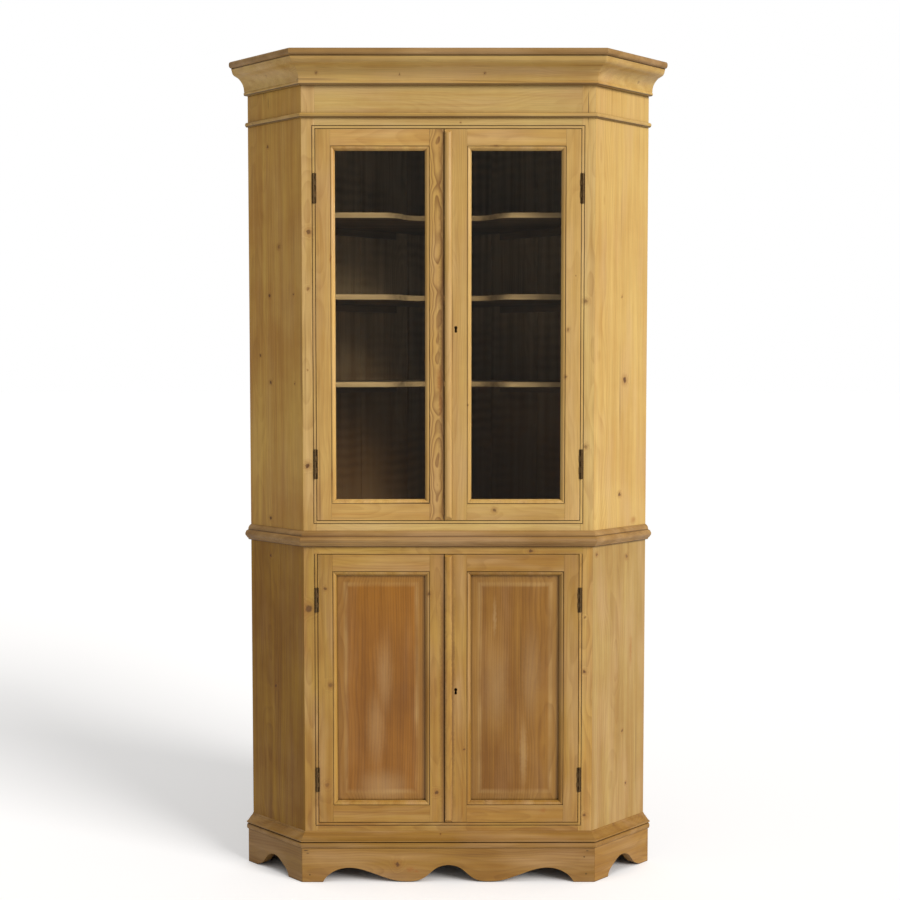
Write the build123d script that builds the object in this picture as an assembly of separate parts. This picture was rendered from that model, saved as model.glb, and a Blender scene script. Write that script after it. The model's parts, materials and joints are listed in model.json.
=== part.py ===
from build123d import *
import os
from math import radians, sqrt, tan

# A two-part glazed corner cupboard in old pine. Millimetres, +Z up.
# The plan below is drawn with the front face of the case on y = 0 and the room corner behind it,
# and every piece is moved by FRONT_Y when it is written, so that the origin is on the floor
# below the middle of the whole cupboard.

# Driving dimensions of the case
HEIGHT = 2130
HALF_FRONT = 373
SIDE_RUN = 156
FRAME_T = 24
SIDE_T = 20
BACK_T = 12
BOARD_T = 18
CASE_FOOT = 90
CASE_SPLIT = 896
CASE_TOP = 2113
DEPTH = HALF_FRONT + 2 * SIDE_RUN

# Mouldings and the top board: how far each stands out, and its heights
TOP_OUT = 60
CORNICE_FOOT = 2048
ASTRAGAL_FOOT = 1967
WAIST_FOOT = 876
BASE_TOP = 131
PLINTH_OUT = 17
PLINTH_IN = -10

# Door openings
UPPER_HALF = 339
UPPER_FOOT = 942
UPPER_HEAD = 1940.5
LOWER_HALF = 338
LOWER_FOOT = 152
LOWER_HEAD = 856.5
BEAD_W = 6
QUIRK_W = 1.8
QUIRK_D = 2.5

# Doors
DOOR_T = 22
DOOR_GAP = 1.5
MEET_LEFT = -11.5
MEET_RIGHT = -9.5
MOULD_W = 11.5
PANE_Y = 10
PANE_T = 3
REBATE_GAP = 1
PANEL_Y = 9
PANEL_T = 10
PANEL_TONGUE = 7
FIELD_MARGIN = 22

# Butt hinges
KNUCKLE_R = 3
PIN_R = 1.3
PIN_GAP = 0.05
LEAF_T = 2
LEAF_BACK = 20
AXIS_OUT = 3
AXIS_PROUD = 1
KNUCKLES = 5
KNUCKLE_GAP = 0.3

# Locks, and the bolts that hold the left doors
LOCK_HALF = 22
LOCK_W = 44
LOCK_D = 10
LOCK_BOLT = (27, 5, 12)
LOCK_TRAVEL = 8
KEY_X = 19
BOLT_R = 3
BOLT_TRAVEL = 12
BOLT_X = -30
STOP_T = 12

# Shelves
SHELF_T = 14
SHELF_FRONT = 75
SHELF_LEVELS = {"shelf_low": 1291.5, "shelf_middle": 1519, "shelf_high": 1730}
LOWER_SHELF_Z = 492
RECESS_DEEP = 85
RECESS_INNER = 75
RECESS_OUTER = 165

MITRE = tan(radians(22.5))
DIAG = sqrt(0.5)
FRONT_Y = -(DEPTH - TOP_OUT) / 2
FIT = 0.2
UP = Vector(0, 0, 1)

os.makedirs("parts", exist_ok=True)


def save(name, *solids):
    """Write one sub-part; solids that only touch stay separate inside it."""
    pieces = []
    for item in solids:
        pieces += item.solids()
    shape = pieces[0] if len(pieces) == 1 else Compound(children=pieces)
    export_step(Pos(0, FRONT_Y, 0) * shape, f"parts/{name}.step")


def slab(x0, x1, y0, y1, z0, z1):
    return Pos((x0 + x1) / 2, (y0 + y1) / 2, (z0 + z1) / 2) * Box(x1 - x0, y1 - y0, z1 - z0)


def prism(points, z0, z1):
    """A plan outline raised from z0 to z1."""
    face = make_face(Polyline(*points, close=True))
    return Pos(0, 0, z0) * extrude(face, z1 - z0, dir=(0, 0, 1))


def outline(start, *steps):
    """A closed outline. A step is a point after a straight run, or (middle, end) after a round one."""
    edges = []
    here = start
    for step in steps + (start,):
        if isinstance(step[0], tuple):
            edges.append(ThreePointArc(here, step[0], step[1]))
            here = step[1]
        elif step != here:
            edges.append(Line(here, step))
            here = step
    return make_face(edges)


def flipped(points):
    """The same plan points on the left, listed so that the outline runs on."""
    return [(-x, y) for x, y in reversed(points)]


def corner(out):
    """Front corner of the plan, for faces that stand out by so much."""
    return (HALF_FRONT + MITRE * out, -out)


def wall_end(out):
    """Where a canted face that stands out by so much meets the wall."""
    return (HALF_FRONT + SIDE_RUN + DIAG * out, SIDE_RUN - DIAG * out)


def mitred(section, reach=70, back=-30):
    """Left, front and right lengths of a moulding whose section is drawn as (stand-out, height)."""
    front_plane = Plane(origin=(HALF_FRONT + reach, 0, 0), x_dir=(0, -1, 0), z_dir=(-1, 0, 0))
    front_run = extrude(front_plane * section, 2 * (HALF_FRONT + reach))
    half = [corner(back), corner(reach)]
    front = front_run & prism(half + flipped(half), -10, HEIGHT + 10)
    end = (HALF_FRONT + SIDE_RUN, SIDE_RUN, 0)
    side_plane = Plane(origin=end, x_dir=(DIAG, -DIAG, 0), z_dir=(-DIAG, -DIAG, 0))
    side_run = extrude(side_plane * section, SIDE_RUN / DIAG + reach)
    right = side_run & prism([corner(back), corner(reach), wall_end(reach), wall_end(back)], -10, HEIGHT + 10)
    return mirror(right, about=Plane.YZ), front, right


def inside(front_y, clear=FIT):
    """Plan of the space inside the case, from front_y to the room corner."""
    side_line = HALF_FRONT - SIDE_T / DIAG - clear / DIAG
    back_line = DEPTH - BACK_T / DIAG - clear / DIAG
    rear = ((side_line + back_line) / 2, (back_line - side_line) / 2)
    right = [(side_line + front_y, front_y), rear, (0, back_line)]
    return right + flipped(right)[1:]


def board_inside(z0, z1, front_y=FRAME_T + FIT):
    return prism(inside(front_y), z0, z1)


def ring(half, foot, head, width, y0, y1):
    """A rectangular ring just outside an opening."""
    outer = slab(-half - width, half + width, y0, y1, foot - width, head + width)
    return outer - slab(-half, half, y0 - 1, y1 + 1, foot, head)


def quirk(half, foot, head, over_head):
    """The narrow groove that sets off the bead round an opening, or round three sides of it."""
    wide = ring(half, foot, head, BEAD_W + QUIRK_W, -1, QUIRK_D)
    groove = wide - ring(half, foot, head, BEAD_W, -2, QUIRK_D + 1)
    if over_head:
        return groove
    return groove - slab(-HALF_FRONT, HALF_FRONT, -2, FRAME_T, head, head + 20)


UPPER_QUIRK = quirk(UPPER_HALF, UPPER_FOOT, UPPER_HEAD, True)
LOWER_QUIRK = quirk(LOWER_HALF, LOWER_FOOT, LOWER_HEAD, False)


# Plinth: three boards with a shaped lower edge, and the blocks glued into their corners

APRON = [(326, 0), (305, 24), (262, 38), (205, 27), (155, 9), (96, 1.5), (62, 12), (34, 35), (0, 45)]
ARCH = [(50, 0), (54, 12), (62, 21), (77, 32), (98, 44), (118, 45), (139, 35), (157, 15), (172, 5), (184, 0)]


def apron_cutter():
    left = [(-x, z) for x, z in APRON]
    curve = Spline(*(left + APRON[-2::-1]))
    face = make_face([curve, Line(APRON[0], (326, -5)), Line((326, -5), (-326, -5)), Line((-326, -5), left[0])])
    plane = Plane(origin=(0, 60, 0), x_dir=(1, 0, 0), z_dir=(0, -1, 0))
    return extrude(plane * face, 120)


def arch_cutter():
    first, last = ARCH[0], ARCH[-1]
    under = [Line(last, (last[0], -5)), Line((last[0], -5), (first[0], -5)), Line((first[0], -5), first)]
    face = make_face([Spline(*ARCH)] + under)
    plane = Plane(origin=(HALF_FRONT - 60 * DIAG, 60 * DIAG, 0), x_dir=(DIAG, DIAG, 0), z_dir=(DIAG, -DIAG, 0))
    return extrude(plane * face, 120)


def plinth():
    board = outline((PLINTH_IN, 0), (PLINTH_OUT, 0), (PLINTH_OUT, CASE_FOOT), (PLINTH_IN, CASE_FOOT))
    left, front, right = mitred(board)
    arch = arch_cutter()
    save("plinth_front", front - apron_cutter())
    save("plinth_left", left - mirror(arch, about=Plane.YZ))
    save("plinth_right", right - arch)
    inner = PLINTH_IN - FIT
    near = corner(inner)
    block = 34
    front_block = [near, (near[0] - block, near[1]), (near[0] - block, near[1] + block),
                   (near[0] + block * DIAG - 6, near[1] + block), (near[0] + block * DIAG, near[1] + block * DIAG)]
    far = wall_end(inner)
    back = BACK_T * DIAG + FIT
    far = (far[0] - back, far[1] - back)
    rear_block = [far, (far[0] - block * DIAG, far[1] - block * DIAG),
                  (far[0] - 2 * block * DIAG, far[1]), (far[0] - block * DIAG, far[1] + block * DIAG)]
    blocks = []
    for points in (front_block, rear_block):
        blocks.append(prism(points, 12, CASE_FOOT))
        blocks.append(prism(flipped(points), 12, CASE_FOOT))
    save("plinth_blocks", *blocks)


def base_moulding():
    section = outline((0, CASE_FOOT), (17, CASE_FOOT), ((20.5, 92.5), (22, 98)), ((21, 103.5), (17.5, 106)),
                      (17.5, 107.5), (22.5, 108.5), (22.5, 112), ((17.5, 114.5), (13, 118.5)),
                      ((8.5, 123), (3, 126.5)), (3, 128), (0, BASE_TOP))
    save("base_moulding", *mitred(section))


# Lower and upper case: stiles and sides are mitred together at the front corners

def side_board(z0, z1):
    return prism([corner(0), wall_end(0), wall_end(-SIDE_T), corner(-SIDE_T)], z0, z1)


def stile(half, z0, z1):
    return prism([(half, 0), (HALF_FRONT, 0), corner(-FRAME_T), (half, FRAME_T)], z0, z1)


def rail(half, z0, z1):
    return slab(-half, half, 0, FRAME_T, z0, z1)


def back_boards(z0, z1, count=4, gap=0.8):
    """Vertical boards behind, between the sides. The left ones reach the room corner, the right ones butt on them."""
    start = wall_end(-SIDE_T)
    full = (HALF_FRONT + SIDE_RUN) / DIAG - SIDE_T
    boards = []
    for side, length in ((-1, full), (1, full - BACK_T)):
        width = length / count
        for i in range(count):
            near = i * width + (gap if i else 0)
            far = (i + 1) * width
            points = []
            for along, deep in ((near, 0), (far, 0), (far, BACK_T), (near, BACK_T)):
                x = start[0] - DIAG * (along + deep)
                y = start[1] + DIAG * (along - deep)
                points.append((side * x, y))
            boards.append(prism(points, z0, z1))
    return boards


def hinge_levels():
    """Every hinge: side of the case, half width of the opening, centre height and length."""
    spots = []
    for side in (-1, 1):
        spots += [(side, UPPER_HALF, z, 75) for z in (1088, 1790)]
        spots += [(side, LOWER_HALF, z, 63) for z in (265.5, 736.5)]
    return spots


def hinge_notch(side, half, middle, length):
    """Housing for the fixed leaf and for the knuckles in the bead."""
    z0 = middle - length / 2
    z1 = middle + length / 2
    leaf = slab(half, half + LEAF_T, 0, LEAF_BACK, z0, z1)
    room = half + AXIS_OUT
    knuckle = slab(half, room + KNUCKLE_R + 0.6, -1, AXIS_OUT + 0.4, z0 - 0.3, z1 + 0.3)
    both = leaf + knuckle
    return mirror(both, about=Plane.YZ) if side < 0 else both


def notches(half):
    spots = [spot for spot in hinge_levels() if spot[1] == half]
    return [hinge_notch(*spot) for spot in spots]


def lower_case():
    side = side_board(CASE_FOOT, CASE_SPLIT)
    save("lower_side_right", side)
    save("lower_side_left", mirror(side, about=Plane.YZ))
    foot = rail(LOWER_HALF, CASE_FOOT, LOWER_FOOT)
    head = rail(LOWER_HALF + BEAD_W + QUIRK_W, LOWER_HEAD, CASE_SPLIT)
    save("lower_rails", foot - LOWER_QUIRK, head)
    right = stile(LOWER_HALF, CASE_FOOT, CASE_SPLIT)
    stiles = []
    for piece in (mirror(right, about=Plane.YZ), right):
        stiles.append(piece - [LOWER_QUIRK, head] - notches(LOWER_HALF))
    save("lower_stiles", *stiles)
    save("lower_floor", board_inside(LOWER_FOOT - 4 - BOARD_T, LOWER_FOOT - 4))
    save("lower_top", board_inside(CASE_SPLIT - BOARD_T, CASE_SPLIT))
    save("lower_back_boards", *back_boards(0, CASE_SPLIT))


def upper_case():
    side = side_board(CASE_SPLIT, CASE_TOP)
    save("upper_side_right", side)
    save("upper_side_left", mirror(side, about=Plane.YZ))
    right = stile(UPPER_HALF, CASE_SPLIT, CASE_TOP)
    stiles = []
    for piece in (mirror(right, about=Plane.YZ), right):
        stiles.append(piece - [UPPER_QUIRK] - notches(UPPER_HALF))
    save("upper_stiles", *stiles)
    save("upper_bottom_rail", rail(UPPER_HALF, CASE_SPLIT, UPPER_FOOT) - UPPER_QUIRK)
    save("frieze_rail", rail(UPPER_HALF, UPPER_HEAD, CASE_TOP) - UPPER_QUIRK)
    floor_top = UPPER_FOOT - 5
    save("upper_floor", board_inside(floor_top - BOARD_T, floor_top))
    save("upper_back_boards", *back_boards(CASE_SPLIT, CASE_TOP))


def waist_moulding():
    section = outline((0, WAIST_FOOT), (6, WAIST_FOOT), ((9, 878), (10, 881)), ((13, 882.5), (15.5, 886)),
                      ((19.5, 892), (17.5, 898)), ((15.5, 901), (11, 902.5)), (9.5, 903.5),
                      ((7.5, 911), (0, 917)))
    save("waist_moulding", *mitred(section))


def astragal_moulding():
    foot = ASTRAGAL_FOOT
    section = outline((0, foot), (4, foot), ((9, foot + 6), (4, foot + 12)), (0, foot + 12))
    save("astragal_moulding", *mitred(section))


def cornice_moulding():
    foot = CORNICE_FOOT
    section = outline((0, foot), (9, foot), ((13, foot + 4.5), (10.5, foot + 9)), (11.5, foot + 12),
                      ((14.5, foot + 26), (24, foot + 38)), ((30, foot + 42.5), (37, foot + 45)),
                      (39, foot + 46), ((47, foot + 50.5), (50.5, foot + 59)), (52, foot + 61),
                      (52, CASE_TOP), (0, CASE_TOP))
    save("cornice_moulding", *mitred(section))


def top_board():
    right = [corner(TOP_OUT), wall_end(TOP_OUT), (0, DEPTH)]
    board = prism(right + flipped(right)[1:], CASE_TOP, HEIGHT)
    nose = 7
    near_walls = DEPTH - TOP_OUT - 120
    edges = [e for e in board.edges() if abs(e.tangent_at(0).Z) < 0.1 and e.center().Y < SIDE_RUN]
    board = fillet([e for e in edges if e.center().Y < near_walls], nose)
    save("top_board", board)


# Shelves with a front edge cut back in the middle, and the bearers under them

def shelf_plan():
    """Interior plan whose front edge runs straight, then in an ogee to the recess."""
    middle = (RECESS_OUTER + RECESS_INNER) / 2
    half_deep = SHELF_FRONT + RECESS_DEEP / 2
    run = RECESS_OUTER - RECESS_INNER
    bend = run / 2 * (1 - 0.72)
    outer_arc = (RECESS_OUTER - bend - run * 0.11, SHELF_FRONT + RECESS_DEEP * 0.12)
    inner_arc = (RECESS_INNER + bend + run * 0.11, SHELF_FRONT + RECESS_DEEP * 0.88)
    right = inside(SHELF_FRONT)[:3]
    rear = SHELF_FRONT + RECESS_DEEP
    edges = [
        Line((0, rear), (RECESS_INNER, rear)),
        ThreePointArc((RECESS_INNER, rear), inner_arc, (middle, half_deep)),
        ThreePointArc((middle, half_deep), outer_arc, (RECESS_OUTER, SHELF_FRONT)),
        Line((RECESS_OUTER, SHELF_FRONT), right[0]),
        Line(right[0], right[1]),
        Line(right[1], right[2]),
    ]
    return make_face(edges + [Line(right[2], (0, rear))])


def shelf(z):
    half = extrude(shelf_plan(), SHELF_T, dir=(0, 0, 1))
    whole = half + mirror(half, about=Plane.YZ)
    return Pos(0, 0, z - SHELF_T / 2) * whole


def bearers(z):
    """Battens on both sides and on both walls under a shelf."""
    high = 20
    thick = 14
    strip = prism(inside(SHELF_FRONT + 15, FIT), -high, 0)
    core = prism(inside(SHELF_FRONT - 60, FIT + thick), -high - 1, 1)
    around = strip - core
    split = 150
    cut = slab(-split, split, DEPTH - 220, DEPTH, -high - 2, 2)
    return [Pos(0, 0, z - SHELF_T / 2) * piece for piece in (around - cut).solids()]


def shelves():
    for name, level in SHELF_LEVELS.items():
        save(name, shelf(level))
    save("lower_shelf", board_inside(LOWER_SHELF_Z - SHELF_T / 2, LOWER_SHELF_Z + SHELF_T / 2, SHELF_FRONT))
    battens = []
    for level in list(SHELF_LEVELS.values()) + [LOWER_SHELF_Z]:
        battens += bearers(level)
    save("shelf_bearers", *battens)


def door_stops():
    """A strip behind each head rail; the left bolts shoot up into it."""
    strips = []
    for half, head in ((UPPER_HALF, UPPER_HEAD), (LOWER_HALF, LOWER_HEAD)):
        foot = head - STOP_T - DOOR_GAP
        strip = slab(-half + 10, half - 10, DOOR_T + 0.5, FRAME_T, foot, head)
        strip += slab(-half + 10, half - 10, FRAME_T, FRAME_T + 14, foot, head + 15)
        strip -= Pos(BOLT_X, DOOR_T + 6, foot) * Cylinder(BOLT_R + 0.6, 2 * BOLT_TRAVEL + 6)
        strips.append(strip)
    save("door_stops", *strips)


# Hinges: fixed leaves with three knuckles and a pin, moving leaves with two

def knuckle_spans(middle, length):
    step = length / KNUCKLES
    low = middle - length / 2
    return [(low + i * step, low + (i + 1) * step) for i in range(KNUCKLES)]


def fixed_leaf(side, half, middle, length):
    axis = half + AXIS_OUT
    z0 = middle - length / 2
    z1 = middle + length / 2
    leaf = slab(half, half + LEAF_T, AXIS_OUT, LEAF_BACK, z0, z1)
    for i, (low, high) in enumerate(knuckle_spans(middle, length)):
        if i % 2 == 0:
            level = (low + high) / 2
            tall = high - low - KNUCKLE_GAP
            leaf += Pos(axis, -AXIS_PROUD, level) * Cylinder(KNUCKLE_R, tall)
            leaf += slab(half, axis, 0, AXIS_OUT + 0.4, level - tall / 2, level + tall / 2)
    leaf -= Pos(axis, -AXIS_PROUD, middle) * Cylinder(PIN_R + PIN_GAP, length + 2)
    pin = Pos(axis, -AXIS_PROUD, middle) * Cylinder(PIN_R, length)
    pieces = [leaf, pin]
    return [mirror(p, about=Plane.YZ) for p in pieces] if side < 0 else pieces


def moving_leaf(side, half, middle, length):
    axis = half + AXIS_OUT
    edge = half - DOOR_GAP
    z0 = middle - length / 2
    z1 = middle + length / 2
    leaf = slab(edge - LEAF_T, edge, -AXIS_PROUD, LEAF_BACK, z0, z1)
    for i, (low, high) in enumerate(knuckle_spans(middle, length)):
        level = (low + high) / 2
        tall = high - low - KNUCKLE_GAP
        if i % 2:
            leaf += Pos(axis, -AXIS_PROUD, level) * Cylinder(KNUCKLE_R, tall)
            leaf += slab(edge - LEAF_T, axis, -AXIS_PROUD - 1, 1, level - tall / 2, level + tall / 2)
    leaf -= Pos(axis, -AXIS_PROUD, middle) * Cylinder(PIN_R + PIN_GAP, length + 2)
    return mirror(leaf, about=Plane.YZ) if side < 0 else leaf


def frame_hinges():
    pieces = []
    for spot in hinge_levels():
        pieces += fixed_leaf(*spot)
    save("frame_hinges", *pieces)


# Doors

def frame_lengths(x0, x1, z0, z1, section):
    """Four mitred lengths round a rectangle; section is drawn as (inwards, depth)."""
    pieces = []
    wide = x1 - x0
    tall = z1 - z0
    spots = ((x0, z0, wide, 0), (x1, z0, tall, 90), (x1, z1, wide, 180), (x0, z1, tall, 270))
    for x, z, length, turn in spots:
        plane = Plane(origin=(0, 0, 0), x_dir=(0, 0, 1), z_dir=(1, 0, 0))
        run = extrude(plane * section, length)
        reach = 40
        keep = make_face(Polyline((0, 0), (length, 0), (length - reach, reach), (reach, reach), close=True))
        keep_plane = Plane(origin=(0, -20, 0), x_dir=(1, 0, 0), z_dir=(0, -1, 0))
        trimmed = run & extrude(keep_plane * keep, 80, both=True)
        pieces.append(Pos(x, 0, z) * Rot(0, -turn, 0) * trimmed)
    return pieces


def ovolo_section():
    """Groove, quarter round and fillet in front of the glass."""
    return outline((0, -2.8), (1.6, -2.8), (1.6, -0.8), ((7.8, -3), (10.8, -8.5)), (MOULD_W, -8.5),
                   (MOULD_W, -PANE_Y), (0, -PANE_Y))


def keyhole(x, z):
    """Round head with a slot that ends round, right through the lock stile."""
    head = Pos(x, 0, z + 4.5) * Rot(90, 0, 0) * Cylinder(3.9, 60)
    foot = Pos(x, 0, z - 5.2) * Rot(90, 0, 0) * Cylinder(3.1, 60)
    return head + foot + slab(x - 2.5, x + 2.5, -30, 30, z - 5, z + 5)


def lock_case(z):
    """Iron case let into the back of the lock stile, open at the edge for its bolt."""
    back = DOOR_T
    case = slab(MEET_RIGHT + FIT, MEET_RIGHT + LOCK_W, back - LOCK_D + FIT, back, z - LOCK_HALF, z + LOCK_HALF)
    long, thick, tall = LOCK_BOLT
    mid_y = back - LOCK_D / 2
    space = 0.4
    channel = slab(MEET_RIGHT - 1, MEET_RIGHT + long + 4, mid_y - thick / 2 - space, mid_y + thick / 2 + space,
                   z + 3 - tall / 2 - space, z + 3 + tall / 2 + space)
    return case - channel


def lock_bolt(z):
    long, thick, tall = LOCK_BOLT
    mid_y = DOOR_T - LOCK_D / 2
    body = slab(MEET_RIGHT + 1, MEET_RIGHT + 1 + long, mid_y - thick / 2, mid_y + thick / 2,
                z + 3 - tall / 2, z + 3 + tall / 2)
    return body - slab(KEY_X - 8, KEY_X - 3, mid_y - 4, mid_y + 4, z - 5, z + 1)


def strike(z):
    """Mortise in the edge of the left door that takes the shot bolt."""
    long, thick, tall = LOCK_BOLT
    mid_y = DOOR_T - LOCK_D / 2
    return slab(MEET_LEFT - LOCK_TRAVEL - 3, MEET_LEFT + 1, mid_y - thick / 2 - 0.8, mid_y + thick / 2 + 0.8,
                z + 3 - tall / 2 - 1, z + 3 + tall / 2 + 1)


def hinge_recess(side, half, middle, length):
    edge = half - DOOR_GAP
    room = slab(edge - LEAF_T, edge + 1, -AXIS_PROUD - 1, LEAF_BACK, middle - length / 2, middle + length / 2)
    return mirror(room, about=Plane.YZ) if side < 0 else room


def door(name, side, half, foot, head, rails, hinge_marks, glazed, lock_z):
    """One door: side is -1 for the left leaf. rails are the heights of its moulding's outer edges."""
    if side < 0:
        x0, x1 = -half + DOOR_GAP, MEET_LEFT
        m0, m1 = -half + 39, -48
    else:
        x0, x1 = MEET_RIGHT, half - DOOR_GAP
        m0, m1 = 47.5, half - 39.5
    z0 = foot + DOOR_GAP
    z1 = head - DOOR_GAP
    r0, r1 = rails
    pane = (m0 + REBATE_GAP, m1 - REBATE_GAP, PANE_Y, PANE_Y + PANE_T, r0 + REBATE_GAP, r1 - REBATE_GAP)
    tongue = PANEL_TONGUE - 0.5
    panel_room = slab(m0 - PANEL_TONGUE, m1 + PANEL_TONGUE, PANEL_Y + PANEL_T - 6, PANEL_Y + PANEL_T,
                      r0 - PANEL_TONGUE, r1 + PANEL_TONGUE)
    stiles = [slab(x0, m0, 0, DOOR_T, z0, z1), slab(m1, x1, 0, DOOR_T, z0, z1)]
    bars = [slab(m0, m1, 0, DOOR_T, z0, r0), slab(m0, m1, 0, DOOR_T, r1, z1)]
    cuts = [hinge_recess(side, half, z, length) for z, length in hinge_marks]
    if not glazed:
        cuts.append(panel_room)
    if side > 0:
        cuts.append(keyhole(KEY_X, lock_z))
        cuts.append(slab(MEET_RIGHT - 1, MEET_RIGHT + LOCK_W + FIT, DOOR_T - LOCK_D, DOOR_T + 1,
                         lock_z - LOCK_HALF - FIT, lock_z + LOCK_HALF + FIT))
    else:
        cuts.append(strike(lock_z))
    save(f"{name}_stiles", *[piece - cuts for piece in stiles])
    save(f"{name}_rails", *([bar - [panel_room] for bar in bars] if not glazed else bars))
    section = ovolo_section()
    front_bead = frame_lengths(m0, m1, r0, r1, section)
    if glazed:
        back_section = outline((0, -PANE_Y - PANE_T - 0.1), (9, -PANE_Y - PANE_T - 0.1),
                               (4, -DOOR_T + 1), (0, -DOOR_T + 1))
        save(f"{name}_moulding", *front_bead, *frame_lengths(m0, m1, r0, r1, back_section))
        save(f"{name}_glass", slab(*pane))
    else:
        thin = outline((0, -2.8), (1.6, -2.8), (1.6, -0.8), ((7.5, -2.8), (10.5, -7.5)), (MOULD_W, -7.5),
                       (MOULD_W, -PANEL_Y), (0, -PANEL_Y))
        save(f"{name}_moulding", *frame_lengths(m0, m1, r0, r1, thin))
        save(f"{name}_panel", fielded_panel(m0, m1, r0, r1, tongue))
    leaves = [moving_leaf(side, half, z, length) for z, length in hinge_marks]
    save(f"{name}_hinge_leaves", *leaves)


def fielded_panel(m0, m1, r0, r1, tongue):
    """A board with a raised field, sloping margins and a tongue all round."""
    back = PANEL_Y + PANEL_T
    f0, f1, g0, g1 = m0 + MOULD_W, m1 - MOULD_W, r0 + MOULD_W, r1 - MOULD_W
    thin = slab(m0 - tongue, m1 + tongue, back - 5.5, back - 0.5, r0 - tongue, r1 + tongue)
    sight = Plane(origin=((f0 + f1) / 2, back - 5.5, (g0 + g1) / 2), x_dir=(1, 0, 0), z_dir=(0, -1, 0))
    rise = back - 5.5 - PANEL_Y - 0.3
    wide = f1 - f0
    tall = g1 - g0
    base = sight * Rectangle(wide, tall)
    top = sight.offset(rise) * Rectangle(wide - 2 * FIELD_MARGIN, tall - 2 * FIELD_MARGIN)
    return thin + loft([base, top])


def meeting_bead(name, foot, head, stand_out, quirk_x):
    """The half-round cover strip on the meeting edge of a right door."""
    z0 = foot + DOOR_GAP + 1
    z1 = head - DOOR_GAP - 1
    left = MEET_RIGHT
    right = quirk_x
    middle = (left + right) / 2
    section = outline((left, 0), (left, -stand_out * 0.45), ((middle, -stand_out), (right, -stand_out * 0.3)),
                      (right, 0))
    strip = Pos(0, 0, z0) * extrude(section, z1 - z0, dir=(0, 0, 1))
    slope = stand_out * 1.2
    for z, turn in ((z0, 1), (z1, -1)):
        wedge = [(0.01, z), (-stand_out - 1, z), (-stand_out - 1, z + turn * slope)]
        plane = Plane(origin=(left - 5, 0, 0), x_dir=(0, 1, 0), z_dir=(1, 0, 0))
        strip -= extrude(plane * make_face(Polyline(*wedge, close=True)), right - left + 10)
    save(name, strip)


def slide_bolt(name, head):
    """A round bolt on a plate behind the left door; it shoots up into the stop strip."""
    top = head - DOOR_GAP - STOP_T - 3
    y = DOOR_T + 6
    long = 70
    plate = slab(BOLT_X - 11, BOLT_X + 11, DOOR_T, DOOR_T + 1.6, top - long, top)
    for z in (top - 8, top - 38):
        loop = slab(BOLT_X - 6, BOLT_X + 6, DOOR_T + 1.6, y + 5, z - 4, z + 4)
        plate += loop
    plate -= Pos(BOLT_X, y, top - long / 2) * Cylinder(BOLT_R + 0.1, long + 10)
    save(f"{name}_plate", plate)
    rod = Pos(BOLT_X, y, top - 32) * Cylinder(BOLT_R, 62)
    rod += Pos(BOLT_X, y + 5, top - 57) * Rot(90, 0, 0) * Cylinder(2.2, 10)
    rod += Pos(BOLT_X, y + 11, top - 57) * Sphere(4)
    save(name, rod)


def doors():
    upper_marks = [(1088, 75), (1790, 75)]
    lower_marks = [(265.5, 63), (736.5, 63)]
    upper_rails = (986, 1897)
    lower_rails = (198, 811)
    for label, side in (("left", -1), ("right", 1)):
        door(f"upper_{label}_door", side, UPPER_HALF, UPPER_FOOT, UPPER_HEAD, upper_rails, upper_marks, True, 1433)
        door(f"lower_{label}_door", side, LOWER_HALF, LOWER_FOOT, LOWER_HEAD, lower_rails, lower_marks, False, 498)
    meeting_bead("upper_meeting_bead", UPPER_FOOT, UPPER_HEAD, 9, 9)
    meeting_bead("lower_meeting_bead", LOWER_FOOT, LOWER_HEAD, 5.5, 10)
    for name, z in (("upper", 1433), ("lower", 498)):
        save(f"{name}_lock_case", lock_case(z) - keyhole(KEY_X, z))
        save(f"{name}_lock_bolt", lock_bolt(z))
    slide_bolt("upper_slide_bolt", UPPER_HEAD)
    slide_bolt("lower_slide_bolt", LOWER_HEAD)


plinth()
base_moulding()
lower_case()
upper_case()
waist_moulding()
astragal_moulding()
cornice_moulding()
top_board()
shelves()
door_stops()
frame_hinges()
doors()
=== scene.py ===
import json
import math
import random

import bmesh
import bpy
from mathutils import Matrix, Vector


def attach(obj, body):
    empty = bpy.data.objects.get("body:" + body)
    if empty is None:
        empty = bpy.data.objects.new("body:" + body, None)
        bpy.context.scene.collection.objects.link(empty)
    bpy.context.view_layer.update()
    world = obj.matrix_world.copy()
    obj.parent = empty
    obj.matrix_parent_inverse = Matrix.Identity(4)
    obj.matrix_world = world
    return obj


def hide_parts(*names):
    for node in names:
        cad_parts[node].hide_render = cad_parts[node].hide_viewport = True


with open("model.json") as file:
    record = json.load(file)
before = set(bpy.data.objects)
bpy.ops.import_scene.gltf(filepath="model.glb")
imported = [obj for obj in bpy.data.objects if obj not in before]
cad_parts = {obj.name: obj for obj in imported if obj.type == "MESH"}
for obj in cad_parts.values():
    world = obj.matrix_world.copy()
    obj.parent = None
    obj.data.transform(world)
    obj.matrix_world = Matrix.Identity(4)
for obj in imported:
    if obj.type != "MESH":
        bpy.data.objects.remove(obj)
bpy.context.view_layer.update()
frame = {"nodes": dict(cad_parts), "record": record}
NODES = frame["nodes"]
RECORD = frame["record"]
BODY_OF = {node: body for body, nodes in RECORD["behaviour"]["bodies"].items() for node in nodes}

# In metres: the face of the stiles and rails, and how far from the middle the canted sides start.
# The sides run back at 45 degrees
MM = 0.001
FRONT = -0.3125
HALF_FRONT = 0.373
DIAG = math.sqrt(0.5)

# Arrises sharper than this stay crisp in the shading, and are eased
ARRIS_ANGLE = math.radians(33)


def side_point(side, along, height):
    """A point on a canted side: side is -1 or 1, along runs from the front corner to the wall."""
    return (side * (HALF_FRONT + DIAG * along), FRONT + DIAG * along, height)


# Materials: colours that wear, dirt and age give to the pine, with painted shade in its corners, under its
# mouldings and beside the upper meeting bead

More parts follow.
